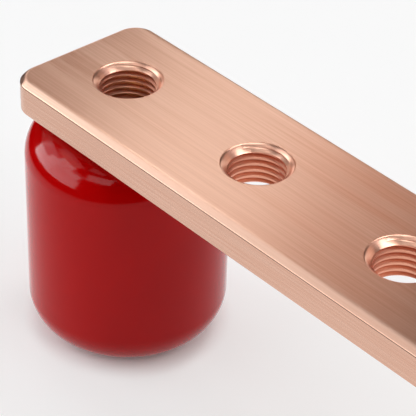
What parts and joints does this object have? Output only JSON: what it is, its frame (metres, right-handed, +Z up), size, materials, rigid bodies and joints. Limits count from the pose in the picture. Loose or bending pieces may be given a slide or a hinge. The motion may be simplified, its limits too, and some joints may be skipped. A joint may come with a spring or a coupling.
{
  "type": "rack grounding busbar",
  "caption": "Flat brushed copper grounding bar with a row of tapped, countersunk holes, held off its panel by glossy red standoff insulators with threaded inserts.",
  "frame": {"origin": "middle of the bar, on the surface that the insulators stand on", "axes": "+X along the bar, towards the end that the picture cuts off; +Y across it, away from the long side that the picture shows; +Z up, out of the face that the lugs sit on"},
  "size_m": [0.489, 0.0318, 0.0444],
  "materials": {
    "copper": "bare copper, brushed along its length, with bright machined chamfers and tapped holes",
    "red_polyester": "glossy moulded red polyester",
    "insert_brass": "turned hexagonal brass, plain"
  },
  "bodies": {
    "root": {"busbar": "copper", "insulator_left": "red_polyester", "insulator_right": "red_polyester", "insert_top_left": "insert_brass", "insert_bottom_left": "insert_brass", "insert_top_right": "insert_brass", "insert_bottom_right": "insert_brass"}
  },
  "joints": []
}
